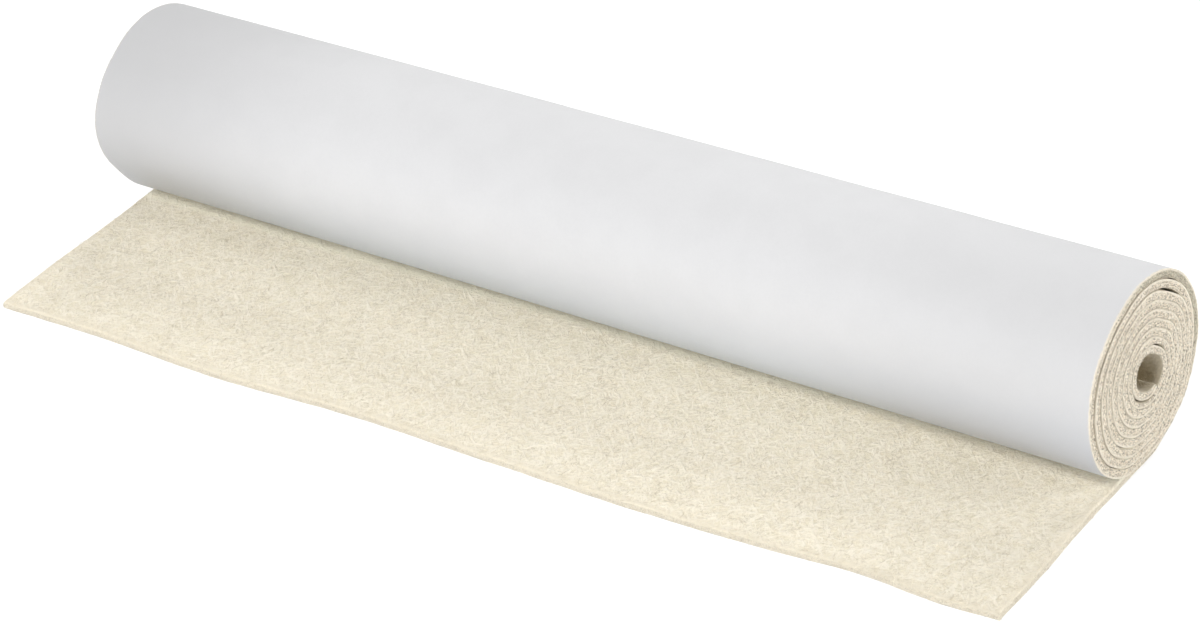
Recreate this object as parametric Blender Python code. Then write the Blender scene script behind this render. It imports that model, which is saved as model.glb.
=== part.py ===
"""A roll of adhesive-backed felt, wound with its backing outside, with the last stretch unrolled in front.

The roll lies along X. Its loose end runs out to -Y, felt side up, and the whole rests on the backing's underside.
Angles round the roll are counted from its lowest line, over the back (+Y), the top and the front (-Y).
"""

import math

import bmesh
import bpy

# Driving dimensions, in metres
CLOTH_WIDTH = 0.450
STRIP_THICKNESS = 0.0030
BACKING_THICKNESS = 0.0010
PIECE_GAP = 0.0003
ROLL_RADIUS = 0.0381
AXIS_HEIGHT = 0.0381
SAG = 0.00067
LOOSE_END = 0.1060
TELESCOPE = 0.0030
NIP_CLEARANCE = 0.0004
NIP_SOFTNESS = 0.0008

# Angles round the roll, in degrees
LIFT_OFF_START = 4
LIFT_OFF_END = 20
NIP_ANGLE = 340
BACKING_END_ANGLE = 339
INNER_END_ANGLE = 30

# Mesh density
ANGLE_STEP = 5
ROLL_STATIONS = 9
EDGE_STATIONS = 25
CAP_RIM_SHARE = 0.1
SHARP_ANGLE = 40

# Where the outer turn swells or sinks: angle, spread, swell at the left end, swell at the right end
OUTER_SWELLS = (
    (48, 16, 0.0006, 0.0006),
    (208, 20, -0.0006, -0.0006),
    (258, 18, 0.0005, 0.0005),
    (305, 28, -0.0026, 0.0013),
)

# The open core, lined by the innermost turn: angle, radius. One turn in, the strip's end steps inwards.
CORE_RADII = (
    (30, 0.0098),
    (77, 0.0099),
    (100, 0.0090),
    (138, 0.0074),
    (170, 0.0078),
    (197, 0.0085),
    (255, 0.0088),
    (300, 0.0073),
    (330, 0.0066),
    (360, 0.0069),
    (390, 0.0070),
)

# The loose end's cut edge: place along X, how far it falls short of LOOSE_END
FRONT_EDGE = (
    (-0.225, 0.0000),
    (-0.180, 0.0006),
    (-0.120, -0.0015),
    (-0.050, 0.0010),
    (0.000, 0.0000),
    (0.090, -0.0009),
    (0.130, 0.0003),
    (0.170, 0.0026),
    (0.200, 0.0007),
    (0.225, 0.0015),
)

FELT_COLOUR = (0.80, 0.73, 0.58, 1.0)
BACKING_COLOUR = (0.76, 0.76, 0.77, 1.0)


def clear_scene():
    for existing in list(bpy.data.objects):
        bpy.data.objects.remove(existing, do_unlink=True)


def make_material(name, colour, roughness):
    material = bpy.data.materials.new(name)
    material.use_nodes = True
    shader = material.node_tree.nodes["Principled BSDF"]
    shader.inputs["Base Color"].default_value = colour
    shader.inputs["Roughness"].default_value = roughness
    shader.inputs["Metallic"].default_value = 0.0
    return material


def smooth_value(rows, at):
    """The value at a place on a smooth curve through rows of (place, value)."""
    last = len(rows) - 1
    k = next((i for i in range(last) if at <= rows[i + 1][0]), last - 1)
    (x0, y0), (x1, y1) = rows[k], rows[k + 1]
    before, after = rows[max(k - 1, 0)], rows[min(k + 2, last)]
    slope_in = (y1 - before[1]) / (x1 - before[0])
    slope_out = (after[1] - y0) / (after[0] - x0)
    span = x1 - x0
    t = min(max((at - x0) / span, 0.0), 1.0)
    bend_in = (slope_in * span - (y1 - y0)) * t * (1 - t) ** 2
    bend_out = (slope_out * span - (y1 - y0)) * t**2 * (1 - t)
    return y0 + (y1 - y0) * t + bend_in - bend_out


def smooth_step(low, high, at):
    t = min(max((at - low) / (high - low), 0.0), 1.0)
    return t * t * (3 - 2 * t)


def smooth_min(a, b, softness):
    return (a + b - math.hypot(a - b, softness)) / 2


def outer_radius(degrees, x):
    """The outer face of the outermost turn: a sagging round, flat on the floor, that comes down onto the loose end."""
    share = x / CLOTH_WIDTH + 0.5
    angle = math.radians(degrees)
    radius = ROLL_RADIUS - SAG * math.cos(2 * angle)
    for centre, spread, left, right in OUTER_SWELLS:
        swell = left + (right - left) * share
        radius += swell * math.exp(-(((degrees - centre) / spread) ** 2))
    if degrees < LIFT_OFF_END:
        lifted = smooth_step(LIFT_OFF_START, LIFT_OFF_END, degrees)
        on_floor = AXIS_HEIGHT / math.cos(angle)
        return on_floor + (radius - on_floor) * lifted
    if degrees > 280:
        on_sheet = (AXIS_HEIGHT - STRIP_THICKNESS - NIP_CLEARANCE) / math.cos(angle)
        return smooth_min(radius, on_sheet, NIP_SOFTNESS)
    return radius


def around(x, degrees, radius):
    angle = math.radians(degrees)
    return (x, radius * math.sin(angle), AXIS_HEIGHT - radius * math.cos(angle))


def spaced(count):
    """Places along X from one cut edge of the cloth to the other."""
    return [CLOTH_WIDTH * (i / (count - 1) - 0.5) for i in range(count)]


def front_row(bm, z):
    """The loose end's cut edge, as a row of points at one height."""
    return [bm.verts.new((x, smooth_value(FRONT_EDGE, x) - LOOSE_END, z)) for x in spaced(EDGE_STATIONS)]


def row(bm, point):
    """One point of the section, repeated along the roll."""
    return [bm.verts.new(point(x)) for x in spaced(ROLL_STATIONS)]


def strip_faces(bm, first, second):
    for k in range(len(first) - 1):
        bm.faces.new((first[k], first[k + 1], second[k + 1], second[k]))


def plane_face(bm, first, second):
    """One flat face between two rows that may differ in their number of points."""
    bm.faces.new(first + second[::-1])


def finish(bm, name, material):
    bmesh.ops.recalc_face_normals(bm, faces=bm.faces)
    mesh = bpy.data.meshes.new(name)
    bm.to_mesh(mesh)
    bm.free()
    mesh.shade_smooth()
    mesh.set_sharp_from_angle(angle=math.radians(SHARP_ANGLE))
    mesh.materials.append(material)
    piece = bpy.data.objects.new(name, mesh)
    bpy.context.scene.collection.objects.link(piece)
    return piece


def section_angles():
    """Even steps round the roll, with a close pair where the strip's inner end makes a step in the core."""
    even = [a for a in range(0, 360, ANGLE_STEP) if a != INNER_END_ANGLE]
    return sorted(even + [INNER_END_ANGLE - 0.5, INNER_END_ANGLE + 0.5])


def core_radius(degrees):
    wound = degrees if degrees > INNER_END_ANGLE else degrees + 360
    return smooth_value(CORE_RADII, wound)


def build_felt():
    """The felt, in one piece: the wound turns round their open core, and the sheet that runs out from under them."""
    bm = bmesh.new()
    underside = BACKING_THICKNESS + PIECE_GAP
    angles = section_angles()
    nip = angles.index(NIP_ANGLE)

    def outside(degrees):
        if degrees > NIP_ANGLE:
            level = (AXIS_HEIGHT - underside) / math.cos(math.radians(degrees))
            return lambda x: around(x, degrees, level)
        return lambda x: around(x, degrees, outer_radius(degrees, x) - underside)

    def core(degrees):
        radius = core_radius(degrees)
        slipped = TELESCOPE * (1 - radius / ROLL_RADIUS)
        return lambda x: around(x + slipped, degrees, radius)

    def rim(degrees):
        def point(x):
            far, near = outside(degrees)(x), around(x, degrees, core_radius(degrees))
            return tuple(a + (b - a) * CAP_RIM_SHARE for a, b in zip(far, near))

        return point

    def under_nip(z):
        return lambda x: (x, outside(NIP_ANGLE)(x)[1], z)

    outer_rows = [row(bm, outside(a)) for a in angles]
    core_rows = [row(bm, core(a)) for a in angles]
    sheet_top, sheet_bottom = row(bm, under_nip(STRIP_THICKNESS)), row(bm, under_nip(underside))
    front_top, front_bottom = front_row(bm, STRIP_THICKNESS), front_row(bm, underside)

    for i in range(len(angles)):
        after = (i + 1) % len(angles)
        strip_faces(bm, core_rows[i], core_rows[after])
        if i != nip:
            strip_faces(bm, outer_rows[i], outer_rows[after])
    strip_faces(bm, outer_rows[nip], sheet_top)
    strip_faces(bm, sheet_bottom, outer_rows[nip + 1])
    plane_face(bm, sheet_top, front_top)
    plane_face(bm, sheet_bottom, front_bottom)
    strip_faces(bm, front_top, front_bottom)

    for end, x in ((0, -CLOTH_WIDTH / 2), (-1, CLOTH_WIDTH / 2)):
        rims = [bm.verts.new(rim(a)(x)) for a in angles]
        for i in range(len(angles)):
            after = (i + 1) % len(angles)
            bm.faces.new((rims[i], rims[after], core_rows[after][end], core_rows[i][end]))
            if i != nip:
                bm.faces.new((outer_rows[i][end], outer_rows[after][end], rims[after], rims[i]))
        corner = (sheet_top[end], sheet_bottom[end], outer_rows[nip + 1][end])
        bm.faces.new((outer_rows[nip][end], *corner, rims[nip + 1], rims[nip]))
        bm.faces.new((sheet_top[end], sheet_bottom[end], front_bottom[end], front_top[end]))
    return finish(bm, "felt", make_material("cream felt", FELT_COLOUR, 0.95))


def build_backing():
    """The backing that shows: under the loose end, up the back, over the top and down the front to the nip."""
    bm = bmesh.new()
    angles = [a for a in range(0, NIP_ANGLE, ANGLE_STEP)] + [BACKING_END_ANGLE]

    def face(degrees, depth):
        return lambda x: around(x, degrees, outer_radius(degrees, x) - depth)

    outer_rows = [row(bm, face(a, 0.0)) for a in angles]
    inner_rows = [row(bm, face(a, BACKING_THICKNESS)) for a in angles]
    front_outer, front_inner = front_row(bm, 0.0), front_row(bm, BACKING_THICKNESS)

    for rows, front in ((outer_rows, front_outer), (inner_rows, front_inner)):
        plane_face(bm, rows[0], front)
        for i in range(len(angles) - 1):
            strip_faces(bm, rows[i], rows[i + 1])
    strip_faces(bm, front_outer, front_inner)
    strip_faces(bm, outer_rows[-1], inner_rows[-1])
    for end in (0, -1):
        bm.faces.new((front_outer[end], front_inner[end], inner_rows[0][end], outer_rows[0][end]))
        for i in range(len(angles) - 1):
            edge = (outer_rows[i][end], outer_rows[i + 1][end], inner_rows[i + 1][end], inner_rows[i][end])
            bm.faces.new(edge)
    return finish(bm, "backing", make_material("white backing", BACKING_COLOUR, 0.6))


def stand_on_origin(pieces):
    """Puts the bottom centre of the whole object's box at the origin."""
    for axis in (0, 1):
        places = [vertex.co[axis] for piece in pieces for vertex in piece.data.vertices]
        middle = (min(places) + max(places)) / 2
        for piece in pieces:
            piece.location[axis] = -middle


clear_scene()
stand_on_origin([build_felt(), build_backing()])
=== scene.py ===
import math

import bpy
import numpy as np
from mathutils import Matrix, Vector, noise


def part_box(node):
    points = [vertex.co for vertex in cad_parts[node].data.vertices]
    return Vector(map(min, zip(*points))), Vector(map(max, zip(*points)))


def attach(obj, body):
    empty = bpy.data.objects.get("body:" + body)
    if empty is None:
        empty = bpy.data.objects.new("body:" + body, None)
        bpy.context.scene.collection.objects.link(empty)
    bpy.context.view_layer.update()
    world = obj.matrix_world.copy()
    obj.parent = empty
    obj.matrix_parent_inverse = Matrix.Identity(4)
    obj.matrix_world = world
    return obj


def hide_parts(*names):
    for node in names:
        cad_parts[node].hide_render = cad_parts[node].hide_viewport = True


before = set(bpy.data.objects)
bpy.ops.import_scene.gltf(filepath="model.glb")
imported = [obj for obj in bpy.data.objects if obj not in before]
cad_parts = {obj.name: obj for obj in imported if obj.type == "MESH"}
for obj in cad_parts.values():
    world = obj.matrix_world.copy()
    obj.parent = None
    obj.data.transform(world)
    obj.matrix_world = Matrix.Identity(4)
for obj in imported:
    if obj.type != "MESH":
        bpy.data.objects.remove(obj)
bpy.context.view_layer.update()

backingLow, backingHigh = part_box("backing")

roll = {
    "width": 0.450,
    "thickness": 0.0030,  # felt and paper together
    "paper": 0.00012,
    "radius": 0.0381,
    "axisHeight": 0.0381,
    "sag": 0.00067,  # how much wider than high the roll has settled
    "looseEnd": 0.1060,  # from the roll's axis to the cut edge in front
    "drawIn": 0.0015,  # how far the loose end's sides come in where it runs under the roll
    "drawnInAt": (-0.085, -0.030),  # where on the loose end that starts and where it is full
    "drawnOutBy": 120,  # degrees wound after which the sides are out again
    "nipClearance": 0.0004,
    "nipSoftness": 0.0008,
    "nipFrom": 280,  # degrees round the outer turn from where it may meet the loose end
    "liftOff": (4, 20),  # degrees over which the strip leaves the floor
    "loosePlay": 0.00002,  # air between turns that touch
    "mostPressed": 0.0018,  # the thinnest felt gets where turns press on it
    "mostSwollen": 0.0011,  # and how much thicker than its own thickness it gets to fill its room
    "swollenFrom": (0, 40),  # degrees wound over which it may start to
}
turn = 360
stripEnd = 3270  # degrees wound, from the floor to the strip's inner end
lastTurn = stripEnd - turn
endAngle = stripEnd % turn
fullTurns = stripEnd // turn
feltThickness = roll["thickness"] - roll["paper"]
axisY = backingHigh.y - roll["radius"] - roll["sag"]
middleX = (backingLow.x + backingHigh.x) / 2

outerSwells = (  # angle, spread, swell at the left end, swell at the right end
    (48, 16, 0.0006, 0.0006),
    (208, 20, -0.0006, -0.0006),
    (258, 18, 0.0005, 0.0005),
    (302, 27, -0.0031, 0.0013),
)
coreRadii = (  # angle, radius of the open core
    (30, 0.0098),
    (77, 0.0099),
    (100, 0.0090),
    (138, 0.0074),
    (170, 0.0078),
    (197, 0.0085),
    (255, 0.0088),
    (300, 0.0073),
    (330, 0.0066),
    (360, 0.0069),
    (390, 0.0070),
)
looseTurns = (  # inside which turn, angle, half-width of the opening in degrees, opening
    (1, 70, 36, 0.0012),
    (1, 142, 16, 0.0004),
    (1, 232, 46, 0.0007),
    (1, 318, 14, 0.0003),
    (2, 142, 17, 0.0011),
    (2, 190, 30, 0.0002),
    (2, 280, 22, 0.0005),
    (3, 320, 16, 0.0003),
    (5, 297, 12, 0.0002),
    (8, 127, 26, 0.0007),
    (8, 325, 40, 0.0010),
)
openingFlatness = 2.6  # 2 is a bell's outline, and more is flatter in the middle
passedOn = 0.85  # share of an opening that pushes in the next turn inside it
slippedTurns = (  # degrees wound, how far the turns have slipped to the right
    (0, 0.0000),
    (220, 0.0000),
    (520, 0.0003),
    (880, 0.0006),
    (1240, 0.0007),
    (1640, 0.0009),
    (2300, 0.0012),
    (2900, 0.0014),
    (3270, 0.0014),
)
frontEdge = (  # place along the width, how far the cut edge falls short
    (-0.225, 0.0000),
    (-0.180, 0.0006),
    (-0.120, -0.0015),
    (-0.050, 0.0010),
    (0.000, 0.0000),
    (0.090, -0.0009),
    (0.130, 0.0003),
    (0.170, 0.0026),
    (0.200, 0.0007),
    (0.225, 0.0015),
)
unevenness = {  # rows of lane, wavelength, seed, amount
    "sideEdges": ((7.0, 0.012, 3.1, 0.00022), (9.0, 0.0035, 5.7, 0.00012)),
    "frontEdge": ((0.0, 0.009, 1.3, 0.00035), (0.0, 0.0028, 8.1, 0.00018)),
    "looseFelt": ((1.0, 0.016, 2.2, 0.00012), (1.0, 0.005, 4.4, 0.00006)),
    "paperDents": ((1.0, 0.045, 6.6, 0.00015),),
}
sideReach = (0.0012, 0.003)  # how far in from a side edge its unevenness is full, and where it ends
fullness = 0.96  # of the rounding of a cut edge; 1 would end it upright
tufts = {"coarse": 900, "fine": 2300, "fineShare": 0.6}  # of a cut edge, for each metre
stations = {
    "rounding": (0.0, 0.00008, 0.00025, 0.0005, 0.0008, 0.0012),  # rows next to a cut edge, from the edge
    "acrossRoll": 3,  # stretches of the width where the strip is wound up
    "onLooseEnd": 44,  # stretches of the loose end from front to back
    "keptClear": 4,  # degrees wound between the even rows and those next to the inner end
}


def smoothTable(rows, at):  # a smooth curve through rows of (place, value)
    places, values = np.array(rows, float).T
    slopes = np.gradient(values, places)
    k = np.clip(np.searchsorted(places, at, side="right") - 1, 0, len(places) - 2)
    span = places[k + 1] - places[k]
    t = np.clip((at - places[k]) / span, 0, 1)
    lean = t * (1 - t) * span * ((1 - t) * slopes[k] - t * slopes[k + 1])
    step = t * t * (3 - 2 * t)
    return values[k] * (1 - step) + values[k + 1] * step + lean


def smoothStep(low, high, at):
    t = np.clip((at - low) / (high - low), 0, 1)
    return t * t * (3 - 2 * t)


def outline(angle, share):  # outer face of the outermost turn; share runs from 0 at the left end to 1
    free = roll["radius"] - roll["sag"] * np.cos(np.radians(2 * angle))
    for centre, spread, left, right in outerSwells:
        free = free + (left + (right - left) * share) * np.exp(-(((angle - centre) / spread) ** 2))
    flatness = 1 / np.maximum(np.cos(np.radians(angle)), 0.2)
    onFloor = roll["axisHeight"] * flatness
    lifted = smoothStep(*roll["liftOff"], angle)
    onSheet = (roll["axisHeight"] - roll["thickness"] - roll["nipClearance"]) * flatness
    nipped = (free + onSheet - np.hypot(free - onSheet, roll["nipSoftness"])) / 2
    rising = onFloor + (free - onFloor) * lifted
    return np.where(angle < turn / 4, rising, np.where(angle > roll["nipFrom"], nipped, free))


def openings(wound, first):  # how far turns stand apart; first: only the gap itself, not what it pushes in
    apart = np.zeros(np.shape(wound))
    innermost = fullTurns - 1
    for inside, angle, halfWidth, opening in looseTurns:
        for n in range(inside - 1, inside) if first else range(inside, innermost):
            off = (wound - turn * n - angle) / halfWidth
            share = 1 if first else passedOn * (innermost - n) / (innermost - inside)
            apart = apart + opening * share * np.exp(-(abs(off) ** openingFlatness))
    return apart


def woundRadius(wound, share):  # outer face of the paper, at a number of degrees wound
    ends = (0, turn, lastTurn, stripEnd)
    sheetTop = roll["axisHeight"] - roll["thickness"] - roll["nipClearance"]
    core = [coreRadii[k][1] + roll["thickness"] for k in (0, -1)]
    steadyAt = (roll["radius"], sheetTop, *core)
    around = wound % turn
    fromEnd = endAngle + (wound - endAngle) % turn
    outside = outline(around, share) - np.interp(around, ends, steadyAt)
    inside = smoothTable(coreRadii, fromEnd) + roll["thickness"]
    inside = inside - np.interp(fromEnd + lastTurn - endAngle, ends, steadyAt)
    depth = np.clip((wound - turn) / (lastTurn - turn), 0, 1)
    between = np.interp(wound, ends, steadyAt) + (1 - depth) * outside + depth * inside
    return np.where(wound <= turn, outline(np.minimum(wound, turn), share), between - openings(wound, False))


def woundThickness(wound, share):  # the felt fills what room its turn has
    room = woundRadius(wound, share) - woundRadius(np.minimum(wound + turn, stripEnd), share)
    room = room - roll["paper"] - roll["loosePlay"] - openings(wound, True)
    most = feltThickness + roll["mostSwollen"] * smoothStep(*roll["swollenFrom"], wound)
    filled = np.clip(room, roll["mostPressed"], most)
    return np.where(wound + turn > stripEnd, feltThickness - openings(wound, True), filled)


def uneven(kind, along, beside=1.0):  # soft unevenness, the same each run; beside tells parallel lines apart
    total = 0.0
    for lane, wavelength, seed, amount in unevenness[kind]:
        flat = np.stack(np.broadcast_arrays(along, lane * beside), -1).reshape(-1, 2)
        values = [noise.noise(Vector((u / wavelength, v / wavelength, seed))) for u, v in flat]
        total = total + amount * np.array(values).reshape(np.shape(along))
    return total


def unevenSides(along, across):  # a cut edge is never quite straight
    waver = np.where(across < 0, uneven("sideEdges", along, -1.0), uneven("sideEdges", along, 1.0))
    return waver * (1 - smoothStep(*sideReach, roll["width"] / 2 - abs(across)))


def crossStations(count):  # places along the width, close together at both cut edges
    half, rounding = roll["width"] / 2, np.array(stations["rounding"])
    middle = np.linspace(-half, half, count + 1)[1:-1]
    return np.concatenate([rounding - half, middle, half - rounding[::-1]])


def looseRows():  # distances back from the cut edge in front
    evenly = np.linspace(0, roll["looseEnd"], stations["onLooseEnd"] + 1)
    return list(stations["rounding"]) + list(evenly[1:-1])


def woundRows(step):  # degrees wound, about evenly far apart, and close together next to the inner end
    radius = coreRadii[-1][1] + roll["thickness"] / 2
    last = [stripEnd - math.degrees(d / radius) for d in stations["rounding"][::-1]]
    rows, wound = [], 0.0
    while wound < last[0] - stations["keptClear"]:
        rows.append(wound)
        wound += math.degrees(step / woundRadius(wound, 0.5))
    return rows + last


def woundPlace(wound, across, depth):  # a point on the strip, depth under the paper's outer face
    share = across / roll["width"] + 0.5
    radius = woundRadius(wound, share) - depth
    angle = np.radians(wound)
    drawn = roll["drawIn"] * (1 - smoothStep(0, roll["drawnOutBy"], wound))
    x = across * (1 - 2 * drawn / roll["width"]) + middleX + smoothTable(slippedTurns, wound)
    x = x + unevenSides(angle * roll["radius"], across)
    y = axisY + radius * np.sin(angle)
    z = roll["axisHeight"] - radius * np.cos(angle)
    return np.stack(np.broadcast_arrays(x, y, z), -1)


def loosePlace(back, across, height):  # a point on the loose end, back from its cut edge
    edge = roll["looseEnd"] - smoothTable(frontEdge, across) + uneven("frontEdge", across)
    y = -edge * (1 - back / roll["looseEnd"])
    drawn = roll["drawIn"] * smoothStep(*roll["drawnInAt"], y)
    x = across * (1 - 2 * drawn / roll["width"]) + middleX + unevenSides(y, across)
    return np.stack(np.broadcast_arrays(x, y + axisY, height), -1)


def pinch(toEdge, radius):  # how far a face drops as it rounds over into a cut edge
    t = np.clip(1 - toEdge / radius, 0, 1)
    return radius * (1 - np.sqrt(1 - t * t * fullness))


def wallBetween(top, bottom, outward, edge):  # points down a cut edge, from one face to the other
    points = []
    for k in range(1, edge["layers"] + 1):
        t = k / (edge["layers"] + 1)
        at = top + (bottom - top) * t
        coarse, fine = (
            np.array([noise.noise(Vector(p) * tufts[kind]) for p in at]) for kind in ("coarse", "fine")
        )
        out = 4 * edge["bulge"] * t * (1 - t) + edge["rough"] * (coarse + tufts["fineShare"] * fine)
        points.append(at + outward * out[:, None])
    return np.array(points)


def bridged(a, placesA, b, placesB):  # faces between two rows, which may differ in their number of points
    if len(a) == len(b):
        return [(a[k], a[k + 1], b[k + 1], b[k]) for k in range(len(a) - 1)]
    if len(a) < len(b):
        return [face[::-1] for face in bridged(b, placesB, a, placesA)]
    nearest = [int(np.argmin(abs(placesA - place))) for place in placesB]
    nearest[0], nearest[-1] = 0, len(a) - 1
    return [(*a[nearest[k] : nearest[k + 1] + 1], b[k + 1], b[k]) for k in range(len(b) - 1)]


def flipped(faces, turnRound):
    return [face[::-1] for face in faces] if turnRound else faces


def closedSheet(name, tops, bottoms, edge, materials):
    # rows of points on a strip's two faces, joined into one closed sheet with slightly rough cut edges
    vertices, cutPlaces, faces, cutFaces = [], [], [], []
    middles = np.array([row[len(row) // 2] for row in bottoms])
    runs = np.concatenate([[0.0], np.cumsum(np.linalg.norm(np.diff(middles, axis=0), axis=1))])
    layerDepths = 1 - np.arange(1, edge["layers"] + 1) / (edge["layers"] + 1)

    def added(points, run, depth, toSide=0.0):
        # run is the length along the strip, and depth goes from 0 at the paper to 1 at the inner face
        first = sum(len(block) for block in vertices)
        block = np.array(points).reshape(-1, 3)
        vertices.append(block)
        zeros = np.zeros(len(block))
        cutPlaces.append(np.stack([run + zeros, depth + zeros, toSide + zeros], -1))
        return list(range(first, first + len(block)))

    def face(row, run, depth):
        return added(row, run, depth, np.minimum(row[:, 0] - row[0, 0], row[-1, 0] - row[:, 0]))

    def wall(side, way):
        walls = []
        for run, top, bottom in zip(runs, tops, bottoms):
            points = wallBetween(top[[side]], bottom[[side]], np.array(way), edge)
            walls.append(added(points, run, layerDepths))
        return walls

    topIds = [face(row, run, 1.0) for row, run in zip(tops, runs)]
    bottomIds = [face(row, run, 0.0) for row, run in zip(bottoms, runs)]
    sides = {0: wall(0, (-1.0, 0.0, 0.0)), -1: wall(-1, (1.0, 0.0, 0.0))}
    places = [row[:, 0] for row in tops]
    for i in range(len(tops) - 1):
        for ids, turnRound in ((topIds, False), (bottomIds, True)):
            faces += flipped(bridged(ids[i], places[i], ids[i + 1], places[i + 1]), turnRound)
        for end, walls in sides.items():
            near = [topIds[i][end], *walls[i], bottomIds[i][end]]
            far = [topIds[i + 1][end], *walls[i + 1], bottomIds[i + 1][end]]
            cutFaces += flipped(bridged(near, None, far, None), end == 0)
    endTurned = math.radians(stripEnd)
    frontWay, innerWay = (0.0, -1.0, 0.0), (0.0, math.cos(endTurned), math.sin(endTurned))
    for i, way, turnRound in ((0, frontWay, True), (len(tops) - 1, innerWay, False)):
        inner = wallBetween(tops[i][1:-1], bottoms[i][1:-1], np.array(way), edge)
        rows = [topIds[i]]
        for k, layer in enumerate(inner):
            rows.append([sides[0][i][k], *added(layer, runs[i], layerDepths[k]), sides[-1][i][k]])
        rows.append(bottomIds[i])
        for upper, lower in zip(rows, rows[1:]):
            cutFaces += flipped(bridged(upper, None, lower, None), turnRound)
    mesh = bpy.data.meshes.new(name)
    mesh.from_pydata(np.concatenate(vertices).tolist(), [], faces + cutFaces)
    mesh.polygons.foreach_set("material_index", [0] * len(faces) + [1] * len(cutFaces))
    mesh.shade_smooth()
    for material in materials:
        mesh.materials.append(material)
    cutPlace = mesh.attributes.new("cutPlace", "FLOAT_VECTOR", "POINT")
    cutPlace.data.foreach_set("vector", np.concatenate(cutPlaces).ravel())
    mesh.update()
    piece = bpy.data.objects.new(name, mesh)
    bpy.context.scene.collection.objects.link(piece)
    return piece


print("stage: shapes are set out")


def newMaterial(name):
    material = bpy.data.materials.new(name)
    material.use_nodes = True
    tree = material.node_tree
    return material, tree, tree.nodes["Principled BSDF"]


def addNode(tree, kind, settings=(), **inputs):
    node = tree.nodes.new(kind)
    for key, value in dict(settings).items():
        setattr(node, key, value)
    for key, value in inputs.items():
        socket = node.inputs[key.replace("_", " ")]
        if isinstance(value, bpy.types.NodeSocket):
            tree.links.new(value, socket)
        else:
            socket.default_value = value
    return node


def placesOf(tree):
    # object coordinates, their place along the width, and the length along the strip, the depth in it and the
    # distance from a side edge that the mesh holds
    at = addNode(tree, "ShaderNodeTexCoord").outputs["Object"]
    across = addNode(tree, "ShaderNodeSeparateXYZ", Vector=at).outputs["X"]
    stored = addNode(tree, "ShaderNodeAttribute", {"attribute_name": "cutPlace"}).outputs["Vector"]
    place = addNode(tree, "ShaderNodeSeparateXYZ", Vector=stored).outputs
    return at, across, place["X"], place["Y"], place["Z"]


def noiseOf(tree, at, perMetre, detail=2.0, distortion=0.0, stretch=1.0, spin=0.0):
    mapping = addNode(tree, "ShaderNodeMapping", {"vector_type": "TEXTURE"}, Vector=at)
    mapping.inputs["Rotation"].default_value = (0.0, 0.0, math.radians(spin))
    mapping.inputs["Scale"].default_value = (stretch, 1.0, 1.0)
    texture = addNode(tree, "ShaderNodeTexNoise", Vector=mapping.outputs[0], Scale=perMetre, Detail=detail)
    texture.inputs["Distortion"].default_value = distortion
    return texture.outputs["Fac"]


def ranged(tree, value, low, high, to=(0.0, 1.0)):
    node = addNode(tree, "ShaderNodeMapRange", {"interpolation_type": "SMOOTHSTEP"}, Value=value)
    for key, number in zip(("From Min", "From Max", "To Min", "To Max"), (low, high, *to)):
        node.inputs[key].default_value = number
    return node.outputs[0]


def fading(tree, value, low, high, most=1.0):  # most up to low, and nothing past high
    return ranged(tree, value, low, high, (most, 0.0))


def blended(tree, factor, first, second, way="MIX"):
    node = addNode(tree, "ShaderNodeMix", {"data_type": "RGBA", "blend_type": way})
    for index, value in ((0, factor), (6, first), (7, second)):
        if isinstance(value, bpy.types.NodeSocket):
            tree.links.new(value, node.inputs[index])
        else:
            node.inputs[index].default_value = (*value, 1.0) if isinstance(value, tuple) else value
    return node.outputs[2]


def combined(tree, operation, first, second):
    node = addNode(tree, "ShaderNodeMath", {"operation": operation})
    for index, value in enumerate((first, second)):
        if isinstance(value, bpy.types.NodeSocket):
            tree.links.new(value, node.inputs[index])
        else:
            node.inputs[index].default_value = value
    return node.outputs[0]


def product(tree, *factors):
    result = factors[0]
    for factor in factors[1:]:
        result = combined(tree, "MULTIPLY", result, factor)
    return result


def layered(tree, rows):  # rows of a height and its share, added up
    first, *others = [product(tree, *row) for row in rows]
    for other in others:
        first = combined(tree, "ADD", first, other)
    return first


def patchesOf(tree, at, row, to=(0.0, 1.0), stretch=1.0):
    perMetre, detail, distortion, low, high = row
    return ranged(tree, noiseOf(tree, at, perMetre, detail, distortion, stretch), low, high, to)


def fibresOf(tree, at, row):  # short fibres lying every way
    perMetre, stretch, low, high, spins = row
    lines = []
    for spin in spins:
        line = noiseOf(tree, at, perMetre, distortion=0.4, stretch=stretch, spin=spin)
        lines.append(ranged(tree, line, low, high))
    crossed = lines[0]
    for line in lines[1:]:
        crossed = combined(tree, "MAXIMUM", crossed, line)
    return crossed


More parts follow.
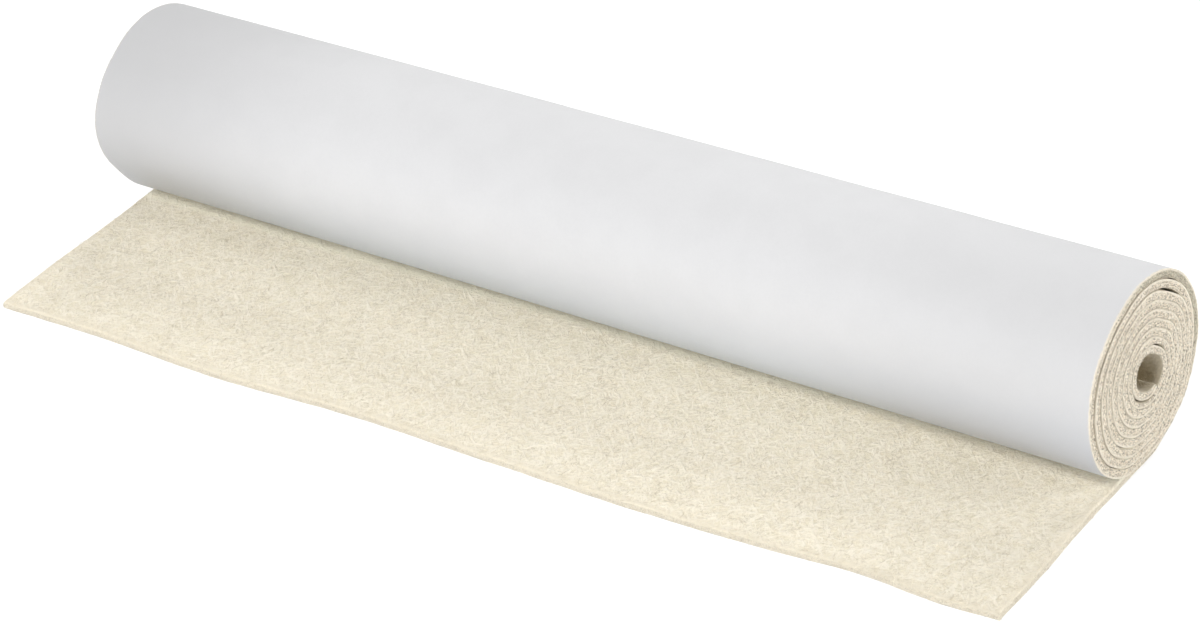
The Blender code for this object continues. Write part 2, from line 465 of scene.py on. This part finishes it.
# patterns: for each metre, detail, distortion, and the noise from which they start and at which they are full
# fibres: for each metre, length against width, the noise as for patterns, and the ways they lie in degrees
feltSurface = {
    "cream": (0.92, 0.84, 0.665),
    "dull": (0.8832, 0.8106, 0.6351),
    "pale": (1.0, 0.935, 0.79),
    "olive": (0.54, 0.47, 0.345),
    "thin": (60.0, 3.0, 0.0, 0.34, 0.66),
    "clouds": (260.0, 3.0, 0.6, 0.40, 0.62),
    "mottle": (1000.0, 2.0, 0.5, 0.42, 0.60),
    "gathers": (130.0, 3.0, 0.0, 0.38, 0.62),
    "gathered": (0.35, 1.15),  # how faint and how strong dark fibres are between and in their gathers
    "darkFibres": (1250.0, 3.4, 0.55, 0.70, (12, 52, 98, 151)),
    "paleFibres": (1100.0, 3.6, 0.53, 0.66, (34, 121)),
    "wisps": (620.0, 4.5, 0.54, 0.70, (8, 71, 136)),
    "shares": {"clouds": 0.52, "mottle": 0.21, "dark": 0.46, "pale": 0.68, "wisps": 0.64},
    "edgeShade": (0.80, 0.725, 0.575),
    "edgeReach": (0.0005, 0.004, 0.60),  # painted shade on the felt's rounded cut edges, which would catch too much light: metres in from a cut edge, and share
    "paintedShade": (0.90, 0.90, 0.90),  # painted shade: share of its brightness that felt keeps near the roll and to the right
    "nearRoll": (0.055, 0.080),  # metres along the strip
    "shadeLeft": (-0.10, 0.12, 0.80),  # painted shade near the roll: places along the width, and share
    "shadeRight": (0.11, 0.22),  # and painted shade away from it, towards the right end
    "paintedNipLight": (1.0, 0.96, 0.79),  # painted light: brighter felt just in front of the roll and under it, against the shade in the nip
    "nipLightFrom": (0.0835, 0.0870),
    "nipLightShare": 0.65,
    "nipLightTo": (0.12, 0.16),
    "coreFrom": (1.38, 1.42),  # metres along the strip where the innermost turn begins, darkened with painted shade inside the core
    "coreShadeShare": 0.56,
    "nap": (1900.0, 3.0, 0.5),
    "lumps": (620.0, 2.0, 0.4),
    "heights": (0.30, 0.70, 0.22, 0.30),  # shares of nap, lumps, pale fibres and wisps
    "depth": 0.0007,
    "bump": 0.8,
    "roughness": 0.95,
    "sheen": 0.25,
    "sheenRoughness": 0.5,
    "specular": 0.15,
}
cutSurface = {
    "cream": (0.955, 0.825, 0.645),
    "pale": (1.0, 0.93, 0.785),
    "dull": (0.57, 0.48, 0.35),
    "shadow": (0.20, 0.165, 0.11),
    "strands": (1800.0, 1.0, 0.3, 0.45, 0.55),
    "strandLength": 3.6,
    "specks": (1500.0, 1.0, 0.5, 0.56, 0.60),
    "fineSpecks": (2500.0, 0.0, 0.0, 0.59, 0.65),
    "glints": (2000.0, 1.0, 0.4, 0.515, 0.555),
    "comeAndGo": (170.0, 3.0, 0.0, 0.35, 0.62),
    "comesAndGoes": (0.3, 1.0),  # how faint and how strong the painted shade lines between turns are
    "shares": {
        "dull": 0.70, "specks": 0.95, "gapShadeLine": 0.65, "paleLine": 0.85, "outerTurnShade": 0.85, "wornAndShaded": 0.85,
    },
    "paleTo": (0.05, 0.30),  # depth from the paper to the inner face of a turn, as a share
    "gapShadeFrom": (0.84, 1.0),
    "outerTurnShade": (0.56, 0.55, 0.42),  # painted shade: the outermost turn's cut face is darker over its top
    "outerTurnShadeAt": (0.265, 0.022, 0.055),  # metres along the strip, and from and to how far either way it fades
    "outerTurnShadeShine": (1.0, 0.25),  # share of the glints without that painted shade and with all of it
    "wornAndShaded": (0.30, 0.285, 0.22),  # painted shade: a broken dark line next to the paper, down the back of the outermost turn
    "backShadeFrom": (0.135, 0.155),
    "backShadeTo": (0.205, 0.225),
    "backShadeDepth": (0.14, 0.24),
    "broken": (420.0, 2.0, 0.0, 0.40, 0.56),
    "onLooseEnd": (0.90, 0.825, 0.665),
    "looseEndTo": (0.090, 0.105, 0.75),  # metres along the strip, and share
    "heights": (0.6, 0.3, -0.5),  # shares of strands, glints and specks
    "depth": 0.0004,
}
paperSurface = {
    "white": (0.675, 0.675, 0.682),
    "shade": (0.65, 0.65, 0.657),
    "clouds": (60.0, 4.0, 0.0, 0.36, 0.66),
    "grain": (900.0, 3.0, 0.0, 0.35, 0.65),
    "shades": (0.55, 0.25),  # shares of clouds and grain
    "endShade": (0.50, 0.50, 0.505),  # painted shade towards both ends
    "endShadeLeft": (-0.225, -0.10, 0.75),  # places along the width, and share
    "endShadeRight": (0.08, 0.20),
    "endShadeRightShare": 0.25,
    "cool": (0.628, 0.672, 0.742),  # painted light: a cooler tint low down, to offset the warm light that the loose end's cream reflects onto it
    "coolFrom": (0.272, 0.315),  # metres along the strip
    "coolTo": (0.34, 0.35),
    "lowRightShade": (0.505, 0.515, 0.54),  # painted shade low down near the right end
    "lowRight": (0.08, 0.18),
    "lowRightFades": (0.302, 0.322),
    "lowRightLeft": 0.5,  # share of it that is left after that
    "rolledIn": (0.32, 0.36),
    "cutEdge": (0.88, 0.80, 0.66),
    "rim": (0.0003, 0.0007),
    "frayed": 0.0003,
    "wornEdge": (500.0, 3.0, 0.0, 0.40, 0.66),
    "dents": 140.0,
    "grainInDents": 0.06,
    "bump": 0.35,
    "depth": 0.0004,
    "roughness": 0.55,
    "specular": 0.25,
}


def finishFelt(shader, tree, height, depth):
    shader.inputs["Roughness"].default_value = feltSurface["roughness"]
    shader.inputs["Sheen Weight"].default_value = feltSurface["sheen"]
    shader.inputs["Sheen Roughness"].default_value = feltSurface["sheenRoughness"]
    shader.inputs["Specular IOR Level"].default_value = feltSurface["specular"]
    bump = addNode(tree, "ShaderNodeBump", Height=height, Strength=feltSurface["bump"], Distance=depth)
    tree.links.new(bump.outputs[0], shader.inputs["Normal"])


def feltMaterial(name):
    material, tree, shader = newMaterial(name)
    at, across, run, _, toSide = placesOf(tree)
    look, shares = feltSurface, feltSurface["shares"]
    thin, clouds, mottle = (patchesOf(tree, at, look[kind]) for kind in ("thin", "clouds", "mottle"))
    dark, pale, wisps = (fibresOf(tree, at, look[kind]) for kind in ("darkFibres", "paleFibres", "wisps"))
    gathered = patchesOf(tree, at, look["gathers"], look["gathered"])
    colour = blended(tree, thin, look["dull"], look["cream"])
    colour = blended(tree, product(tree, clouds, shares["clouds"]), colour, look["pale"])
    colour = blended(tree, product(tree, mottle, shares["mottle"]), colour, look["olive"])
    colour = blended(tree, product(tree, dark, gathered, shares["dark"]), colour, look["olive"])
    colour = blended(tree, product(tree, pale, shares["pale"]), colour, look["pale"])
    colour = blended(tree, product(tree, wisps, shares["wisps"]), colour, look["pale"])
    toEdge = combined(tree, "MINIMUM", run, toSide)
    # painted shade: the felt darkens towards its cut edges, where the rounding would catch too much light
    colour = blended(tree, fading(tree, toEdge, *look["edgeReach"]), colour, look["edgeShade"])
    # painted shade: the felt darkens near the roll on its left part, and away from the roll towards the right
    # end
    nearRoll = ranged(tree, run, *look["nearRoll"])
    awayFromRoll = combined(tree, "SUBTRACT", 1.0, nearRoll)
    right = product(tree, ranged(tree, across, *look["shadeRight"]), awayFromRoll)
    left = product(tree, fading(tree, across, *look["shadeLeft"]), nearRoll)
    colour = blended(tree, combined(tree, "ADD", right, left), colour, look["paintedShade"], "MULTIPLY")
    # painted light: the felt brightens where it runs into the nip under the roll, lifting the shade there
    nipLit = ranged(tree, run, *look["nipLightFrom"], (0.0, look["nipLightShare"]))
    nipLit = product(tree, nipLit, fading(tree, run, *look["nipLightTo"]))
    colour = blended(tree, nipLit, colour, look["paintedNipLight"])
    # painted shade: the innermost turn darkens inside the core
    coreShade = ranged(tree, run, *look["coreFrom"], (0.0, look["coreShadeShare"]))
    colour = blended(tree, coreShade, colour, look["olive"])
    tree.links.new(colour, shader.inputs["Base Color"])
    nap, lumps = noiseOf(tree, at, *look["nap"]), noiseOf(tree, at, *look["lumps"])
    height = layered(tree, zip((nap, lumps, pale, wisps), look["heights"]))
    finishFelt(shader, tree, height, look["depth"])
    return material


def cutFaceMaterial(name):  # fibres lie along the turns, pale next to the paper, with painted shade where a turn meets the next
    material, tree, shader = newMaterial(name)
    at, across, run, depth, _ = placesOf(tree)
    look, shares = cutSurface, cutSurface["shares"]
    along, deep = combined(tree, "ADD", run, across), product(tree, depth, feltThickness)
    laid = addNode(tree, "ShaderNodeCombineXYZ", X=along, Y=deep).outputs[0]
    strands = patchesOf(tree, laid, look["strands"], stretch=look["strandLength"])
    specks, fineSpecks = patchesOf(tree, at, look["specks"]), patchesOf(tree, at, look["fineSpecks"])
    specks, glints = combined(tree, "MAXIMUM", specks, fineSpecks), patchesOf(tree, at, look["glints"])
    paleLine = fading(tree, depth, *look["paleTo"])
    comeAndGo = patchesOf(tree, laid, look["comeAndGo"], look["comesAndGoes"])
    # painted shade: a dark line along the inner face of each turn, where it meets the next turn
    gapShadeLine = product(tree, ranged(tree, depth, *look["gapShadeFrom"]), comeAndGo)
    # painted shade over the top of the outermost turn's cut face
    middle, *reach = look["outerTurnShadeAt"]
    off = combined(tree, "ABSOLUTE", combined(tree, "SUBTRACT", run, middle), 0.0)
    outerTurnShade = fading(tree, off, *reach, shares["outerTurnShade"])
    colour = blended(tree, outerTurnShade, look["cream"], look["outerTurnShade"])
    between = combined(tree, "SUBTRACT", 1.0, strands)
    colour = blended(tree, product(tree, between, shares["dull"]), colour, look["dull"])
    colour = blended(tree, product(tree, specks, shares["specks"]), colour, look["shadow"])
    shine = product(tree, glints, ranged(tree, outerTurnShade, 0.0, 1.0, look["outerTurnShadeShine"]))
    colour = blended(tree, shine, colour, look["pale"])
    colour = blended(tree, product(tree, gapShadeLine, shares["gapShadeLine"]), colour, look["shadow"])
    colour = blended(tree, product(tree, paleLine, shares["paleLine"]), colour, look["pale"])
    # painted shade where the outermost turn's felt meets the paper down the back
    onBack = product(tree, ranged(tree, run, *look["backShadeFrom"]), fading(tree, run, *look["backShadeTo"]))
    nextToPaper = fading(tree, depth, *look["backShadeDepth"], shares["wornAndShaded"])
    wornAndShaded = product(tree, onBack, patchesOf(tree, laid, look["broken"]), nextToPaper)
    colour = blended(tree, wornAndShaded, colour, look["wornAndShaded"])
    colour = blended(tree, fading(tree, run, *look["looseEndTo"]), colour, look["onLooseEnd"])
    tree.links.new(colour, shader.inputs["Base Color"])
    height = layered(tree, zip((strands, glints, specks), look["heights"]))
    finishFelt(shader, tree, height, look["depth"])
    return material


def paperMaterial(name):
    material, tree, shader = newMaterial(name)
    at, across, run, _, toSide = placesOf(tree)
    look = paperSurface
    clouds, grain = patchesOf(tree, at, look["clouds"]), patchesOf(tree, at, look["grain"])
    shaded = layered(tree, zip((clouds, grain), look["shades"]))
    colour = blended(tree, shaded, look["white"], look["shade"])
    # painted light: the paper is tinted cooler low down, against the warm light reflected from the felt
    low = product(tree, ranged(tree, run, *look["coolFrom"]), fading(tree, run, *look["coolTo"]))
    colour = blended(tree, low, colour, look["cool"])
    rim = fading(tree, combined(tree, "ADD", toSide, product(tree, grain, look["frayed"])), *look["rim"])
    edged = combined(tree, "MAXIMUM", rim, ranged(tree, run, *look["rolledIn"]))
    colour = blended(tree, edged, colour, look["cutEdge"])
    # painted shade: the paper darkens towards both ends of the roll
    left = fading(tree, across, *look["endShadeLeft"])
    right = ranged(tree, across, *look["endShadeRight"], (0.0, look["endShadeRightShare"]))
    colour = blended(tree, combined(tree, "MAXIMUM", left, right), colour, look["endShade"])
    # painted shade: the paper darkens low down near the right end
    partlyFaded = ranged(tree, run, *look["lowRightFades"], (1.0, look["lowRightLeft"]))
    lowRight = product(tree, ranged(tree, across, *look["lowRight"]), low, partlyFaded)
    colour = blended(tree, lowRight, colour, look["lowRightShade"])
    tree.links.new(colour, shader.inputs["Base Color"])
    shader.inputs["Roughness"].default_value = look["roughness"]
    shader.inputs["Specular IOR Level"].default_value = look["specular"]
    fineDents = product(tree, grain, look["grainInDents"])
    dents = combined(tree, "ADD", noiseOf(tree, at, look["dents"]), fineDents)
    bump = addNode(tree, "ShaderNodeBump", Height=dents, Strength=look["bump"], Distance=look["depth"])
    tree.links.new(bump.outputs[0], shader.inputs["Normal"])
    return material


def paperEdgeMaterial(name):
    material, tree, shader = newMaterial(name)
    wornAndShaded = patchesOf(tree, placesOf(tree)[0], paperSurface["wornEdge"])
    colour = blended(tree, wornAndShaded, paperSurface["cutEdge"], cutSurface["pale"])
    tree.links.new(colour, shader.inputs["Base Color"])
    shader.inputs["Roughness"].default_value = 0.8
    return material


feltStrip = {
    "across": 180,  # stretches of the loose end's width
    "step": 0.0008,
    "above": 0.00002,  # air between felt and paper
    "rounded": 0.0010,  # how far its cut edges are rounded on the loose end
    "crisp": 0.0002,  # and in the roll
    "crispBy": 30,  # degrees wound
    "underside": 0.03,  # share of that rounding on the side next to the paper
    "lumpsEnd": (0.080, 0.100),  # how far back from its cut edge the loose end's lumps die out
    "cutEdge": {"layers": 5, "bulge": 0.00015, "rough": 0.00026},
}


def buildFelt():
    fine, coarse = crossStations(feltStrip["across"]), crossStations(stations["acrossRoll"])
    edgeFine, edgeCoarse = (roll["width"] / 2 - abs(places) for places in (fine, coarse))
    rounded, crisp, start = feltStrip["rounded"], feltStrip["crisp"], roll["paper"] + feltStrip["above"]
    tops, bottoms = [], []
    for back in looseRows():
        drop = np.maximum(pinch(edgeFine, rounded), pinch(back, rounded))
        lumps = uneven("looseFelt", fine, back) * (1 - smoothStep(*feltStrip["lumpsEnd"], back))
        tops.append(loosePlace(back, fine, roll["thickness"] - drop + lumps))
        bottoms.append(loosePlace(back, fine, start + feltStrip["underside"] * drop))
    for wound in woundRows(feltStrip["step"]):
        toEnd = math.radians(stripEnd - wound) * coreRadii[-1][1]
        rolling = smoothStep(0, feltStrip["crispBy"], wound)
        edge = crisp * rolling + rounded * (1 - rolling)
        drop = np.maximum(pinch(edgeCoarse, edge), pinch(toEnd, rounded))
        share = coarse / roll["width"] + 0.5
        thick = woundThickness(np.full(coarse.shape, float(wound)), share)
        tops.append(woundPlace(float(wound), coarse, roll["paper"] + thick - drop))
        bottoms.append(woundPlace(float(wound), coarse, start + feltStrip["underside"] * drop))
    materials = [feltMaterial("felt surface"), cutFaceMaterial("felt cut face")]
    return closedSheet("feltStrip", tops, bottoms, feltStrip["cutEdge"], materials)


backingPaper = {
    "across": 60,
    "step": 0.0015,
    "dentsFrom": (25, 60),  # degrees wound
    "dentsTo": (290, 320),
    "dentSpread": 1500,  # degrees wound for each metre of the dents' pattern
    "cutEdge": {"layers": 1, "bulge": 0.0, "rough": 0.0},
}


def buildBacking():
    fine, coarse = crossStations(backingPaper["across"]), crossStations(stations["acrossRoll"])
    tops, bottoms = [], []
    for back in looseRows():
        tops.append(loosePlace(back, fine, roll["paper"] + 0 * fine))
        bottoms.append(loosePlace(back, fine, 0 * fine))
    for wound in woundRows(backingPaper["step"]):
        across = fine if wound < turn else coarse
        dents = uneven("paperDents", across, wound / backingPaper["dentSpread"])
        dents = dents * smoothStep(*backingPaper["dentsFrom"], wound)
        dents = dents * (1 - smoothStep(*backingPaper["dentsTo"], wound))
        tops.append(woundPlace(float(wound), across, roll["paper"] - dents))
        bottoms.append(woundPlace(float(wound), across, -dents))
    materials = [paperMaterial("backing paper"), paperEdgeMaterial("backing paper's cut edge")]
    return closedSheet("backingPaper", tops, bottoms, backingPaper["cutEdge"], materials)


felt = buildFelt()
backing = buildBacking()
print("stage: felt and backing wound", len(felt.data.polygons), len(backing.data.polygons))

looseFibres = {
    "perSquareMetre": {"napFaces": 200000.0, "cutFaces": 950000.0},
    "length": {"napFaces": 0.0030, "cutFaces": 0.0008},
    "thickness": 0.00008,
    "lift": {"napFaces": 6.0, "cutFaces": 30.0},  # most degrees that a fibre stands up
    "leans": (-1.0, 0.15),  # shares of that lift; a negative one raises a fibre
    "bends": (0.16, -0.24, 0.34),  # sideways, as a share of the length
    "arch": 0.07,
    "sizes": (0.5, 1.5),
    "paleFrom": (0.10, 0.45),  # of a tone from 0 to 1, where fibres turn from olive to pale
    "napInFront": 0.4,  # how far in front of the roll's axis nap begins, in radii of the roll
    "napBelow": 1.6,  # and how high it may lie, in thicknesses of the strip
    "seed": 11,
}


def markFaces(strip):  # where fibres lie: on the open part of the loose end, and on the cut edges
    mesh = strip.data
    centres, normals = (np.zeros(3 * len(mesh.polygons)) for _ in range(2))
    materials = np.zeros(len(mesh.polygons), int)
    mesh.polygons.foreach_get("center", centres)
    mesh.polygons.foreach_get("normal", normals)
    mesh.polygons.foreach_get("material_index", materials)
    centres, normals = centres.reshape(-1, 3), normals.reshape(-1, 3)
    inFront = centres[:, 1] < axisY - looseFibres["napInFront"] * roll["radius"]
    low = centres[:, 2] < looseFibres["napBelow"] * roll["thickness"]
    onTop = (normals[:, 2] > 0.5) & (materials == 0)
    for name, chosen in (("napFaces", inFront & low & onTop), ("cutFaces", materials == 1)):
        mesh.attributes.new(name, "BOOLEAN", "FACE").data.foreach_set("value", chosen)


def fibreMaterial():
    material, tree, shader = newMaterial("loose fibres")
    tone = addNode(tree, "ShaderNodeAttribute", {"attribute_name": "tone"}).outputs["Fac"]
    pale = ranged(tree, tone, *looseFibres["paleFrom"])
    colour = blended(tree, pale, feltSurface["olive"], feltSurface["pale"])
    tree.links.new(colour, shader.inputs["Base Color"])
    shader.inputs["Roughness"].default_value = 0.8
    return material


def fibreTree(material):
    # points strewn over the marked faces, each with a bent fibre, turned and raised a little at random
    tree = bpy.data.node_groups.new("fibres", "GeometryNodeTree")
    tree.interface.new_socket("Geometry", in_out="OUTPUT", socket_type="NodeSocketGeometry")
    tree.interface.new_socket("Geometry", in_out="INPUT", socket_type="NodeSocketGeometry")
    kinds = {"On faces": "String", "Per square metre": "Float", "Length": "Float", "Thickness": "Float",
             "Lift": "Float", "Arch": "Float", "Seed": "Int"}
    sockets = {}
    for name, kind in kinds.items():
        socket = tree.interface.new_socket(name, in_out="INPUT", socket_type="NodeSocket" + kind)
        sockets[name] = socket.identifier
    given = tree.nodes.new("NodeGroupInput").outputs

    def node(kind, settings=(), links=()):
        made = tree.nodes.new(kind)
        for key, value in dict(settings).items():
            setattr(made, key, value)
        for key, value in dict(links).items():
            if isinstance(value, bpy.types.NodeSocket):
                tree.links.new(value, made.inputs[key])
            else:
                made.inputs[key].default_value = value
        return made

    def randomValue(low, high, salt, kind="FLOAT"):
        first, last, out = {"FLOAT": (2, 3, 1), "INT": (4, 5, 2), "FLOAT_VECTOR": (0, 1, 0)}[kind]
        made = node("FunctionNodeRandomValue", {"data_type": kind}, {first: low, last: high})
        seed = node("ShaderNodeMath", {"operation": "ADD"}, {0: given["Seed"], 1: float(salt)})
        tree.links.new(seed.outputs[0], made.inputs["Seed"])
        return made.outputs[out]

    chosen = node("GeometryNodeInputNamedAttribute", {"data_type": "BOOLEAN"}, {"Name": given["On faces"]})
    strewn = node("GeometryNodeDistributePointsOnFaces", {}, {
        "Mesh": given["Geometry"], "Selection": chosen.outputs["Attribute"],
        "Density": given["Per square metre"], "Seed": given["Seed"]})
    halfThick = node("ShaderNodeMath", {"operation": "MULTIPLY"}, {0: given["Thickness"], 1: 0.5})
    ring = node("GeometryNodeCurvePrimitiveCircle", {}, {"Resolution": 3, "Radius": halfThick.outputs[0]})
    size = node("ShaderNodeVectorMath", {"operation": "SCALE"}, {0: (1, 1, 1), "Scale": given["Length"]})
    shapes = node("GeometryNodeGeometryToInstance")
    for bend in looseFibres["bends"]:
        middle = node("ShaderNodeCombineXYZ", {}, {"X": 0.5, "Y": bend, "Z": given["Arch"]})
        line = node("GeometryNodeCurveQuadraticBezier", {}, {
            "Resolution": 3, "Start": (0, 0, 0), "Middle": middle.outputs[0], "End": (1, 0, 0)})
        grown = node("GeometryNodeTransform", {}, {"Geometry": line.outputs[0], "Scale": size.outputs[0]})
        tube = node("GeometryNodeCurveToMesh", {}, {
            "Curve": grown.outputs[0], "Profile Curve": ring.outputs[0], "Fill Caps": True})
        tree.links.new(tube.outputs[0], shapes.inputs[0])
    spun = node("ShaderNodeCombineXYZ", {}, {"Z": randomValue(0.0, 2 * math.pi, 1)})
    lean = randomValue(*looseFibres["leans"], 2)
    tilt = node("ShaderNodeMath", {"operation": "MULTIPLY"}, {0: lean, 1: given["Lift"]})
    tilt = node("ShaderNodeMath", {"operation": "RADIANS"}, {0: tilt.outputs[0]})
    raised = node("ShaderNodeCombineXYZ", {}, {"Y": tilt.outputs[0]})
    turned = strewn.outputs["Rotation"]
    for by in (spun, raised):
        turned = node("FunctionNodeRotateRotation", {"rotation_space": "LOCAL"}, {
            "Rotation": turned, "Rotate By": by.outputs[0]}).outputs[0]
    least, most = looseFibres["sizes"]
    placed = node("GeometryNodeInstanceOnPoints", {}, {
        "Points": strewn.outputs["Points"], "Instance": shapes.outputs[0], "Pick Instance": True,
        "Instance Index": randomValue(0, len(looseFibres["bends"]) - 1, 3, "INT"),
        "Rotation": turned, "Scale": randomValue((least,) * 3, (most,) * 3, 4, "FLOAT_VECTOR")})
    toned = node("GeometryNodeStoreNamedAttribute", {"data_type": "FLOAT", "domain": "INSTANCE"}, {
        "Geometry": placed.outputs[0], "Name": "tone", "Value": randomValue(0.0, 1.0, 5)})
    real = node("GeometryNodeRealizeInstances", {}, {"Geometry": toned.outputs[0]})
    finished = node("GeometryNodeSetMaterial", {}, {"Geometry": real.outputs[0], "Material": material})
    tree.links.new(finished.outputs[0], tree.nodes.new("NodeGroupOutput").inputs[0])
    return tree, sockets


def buildFibres(name, strip, where, tree, sockets):
    piece = bpy.data.objects.new(name, strip.data)
    bpy.context.scene.collection.objects.link(piece)
    nodes = piece.modifiers.new("fibres", "NODES")
    nodes.node_group = tree
    given = {
        "On faces": where, "Per square metre": looseFibres["perSquareMetre"][where],
        "Length": looseFibres["length"][where], "Thickness": looseFibres["thickness"],
        "Lift": looseFibres["lift"][where], "Arch": looseFibres["arch"], "Seed": looseFibres["seed"],
    }
    for key, value in given.items():
        nodes[sockets[key]] = value
    bpy.context.view_layer.update()
    evaluated = piece.evaluated_get(bpy.context.evaluated_depsgraph_get())
    mesh = bpy.data.meshes.new_from_object(evaluated)
    piece.modifiers.clear()
    piece.data = mesh
    mesh.name = name
    points = np.zeros(3 * len(mesh.vertices))
    mesh.vertices.foreach_get("co", points)
    points[2::3] = abs(points[2::3])  # none reaches under the floor
    mesh.vertices.foreach_set("co", points)
    mesh.update()
    return piece


markFaces(felt)
fibreGroup = fibreTree(fibreMaterial())
looseNap = buildFibres("looseNap", felt, "napFaces", *fibreGroup)
edgeFuzz = buildFibres("edgeFuzz", felt, "cutFaces", *fibreGroup)
print("stage: loose fibres strewn", len(looseNap.data.polygons), len(edgeFuzz.data.polygons))

studioLights = {
    "key": {"power": 83.5, "at": (0.0, -2.12, 2.12), "size": 1.6},
    "top": {"power": 18.0, "at": (0.0, 0.26, 2.99), "size": 2.6},
    "back": {"power": 51.0, "at": (0.0, 2.46, 1.72), "size": 2.0},
    "right": {"power": 54.5, "at": (2.66, 1.24, 0.62), "size": 1.6},
    "left": {"power": 7.0, "at": (-2.6, 0.0, 1.5), "size": 1.6},
}
studioFloor = {
    "half": 6.0,
    "backdrop": 0.5,  # height of the low backdrop all round
    "below": 0.0002,
    "colour": (0.3, 0.3, 0.3, 1.0),
    "glow": 0.78,
    "roughness": 0.9,
}
studioCamera = {
    "azimuth": 38.765,
    "elevation": 33.035,
    "roll": -7.303,
    "distance": 1.8342,
    "lens": 146.97,
    "aim": (0.0034, -0.0229, 0.0145),  # from the floor under the middle of the roll's axis
}


def addAreaLight(name, power, at, size):
    lamp = bpy.data.lights.new(name, "AREA")
    lamp.shape, lamp.size, lamp.energy = "SQUARE", size, power
    light = bpy.data.objects.new(name, lamp)
    light.location = at
    light.rotation_euler = Vector(at).to_track_quat("Z", "Y").to_euler()
    bpy.context.scene.collection.objects.link(light)


def addFloor():
    half, height = studioFloor["half"], studioFloor["backdrop"]
    corners = [(-half, -half), (half, -half), (half, half), (-half, half)]
    points = [(x, y, z) for z in (0.0, height) for x, y in corners]
    walls = [(k, k + 4, (k + 1) % 4 + 4, (k + 1) % 4) for k in range(4)]
    mesh = bpy.data.meshes.new("studioFloor")
    mesh.from_pydata(points, [], [(0, 1, 2, 3), *walls])
    material, _, shader = newMaterial("studio floor")
    shader.inputs["Base Color"].default_value = studioFloor["colour"]
    shader.inputs["Roughness"].default_value = studioFloor["roughness"]
    shader.inputs["Emission Color"].default_value = (1.0, 1.0, 1.0, 1.0)
    shader.inputs["Emission Strength"].default_value = studioFloor["glow"]
    mesh.materials.append(material)
    floor = bpy.data.objects.new("studioFloor", mesh)
    floor.location.z = -studioFloor["below"]
    bpy.context.scene.collection.objects.link(floor)


def addDarkWorld():  # all the light comes from the lamps and the floor
    world = bpy.data.worlds.new("studio")
    world.use_nodes = True
    world.node_tree.nodes["Background"].inputs["Strength"].default_value = 0.0
    bpy.context.scene.world = world


def addCamera():
    aimX, aimY, aimZ = studioCamera["aim"]
    target = Vector((middleX + aimX, axisY + aimY, aimZ))
    a, e, r = (math.radians(studioCamera[key]) for key in ("azimuth", "elevation", "roll"))
    back = Vector((math.sin(a) * math.cos(e), -math.cos(a) * math.cos(e), math.sin(e)))
    right = (-back).cross(Vector((0, 0, 1))).normalized()
    up = right.cross(-back)
    turnedRight = right * math.cos(r) + up * math.sin(r)
    turnedUp = up * math.cos(r) - right * math.sin(r)
    facing = Matrix((turnedRight, turnedUp, back)).transposed().to_4x4()
    camera = bpy.data.objects.new("camera", bpy.data.cameras.new("camera"))
    camera.data.lens = studioCamera["lens"]
    camera.matrix_world = Matrix.Translation(target + back * studioCamera["distance"]) @ facing
    bpy.context.scene.collection.objects.link(camera)
    bpy.context.scene.camera = camera


addFloor()
addDarkWorld()
for name, settings in studioLights.items():
    addAreaLight(name, **settings)
addCamera()
bpy.context.scene.view_settings.view_transform = "Standard"
print("stage: floor, lights and camera are set up")

for piece in (felt, backing, looseNap, edgeFuzz):
    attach(piece, "root")
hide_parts("felt")
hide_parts("backing")
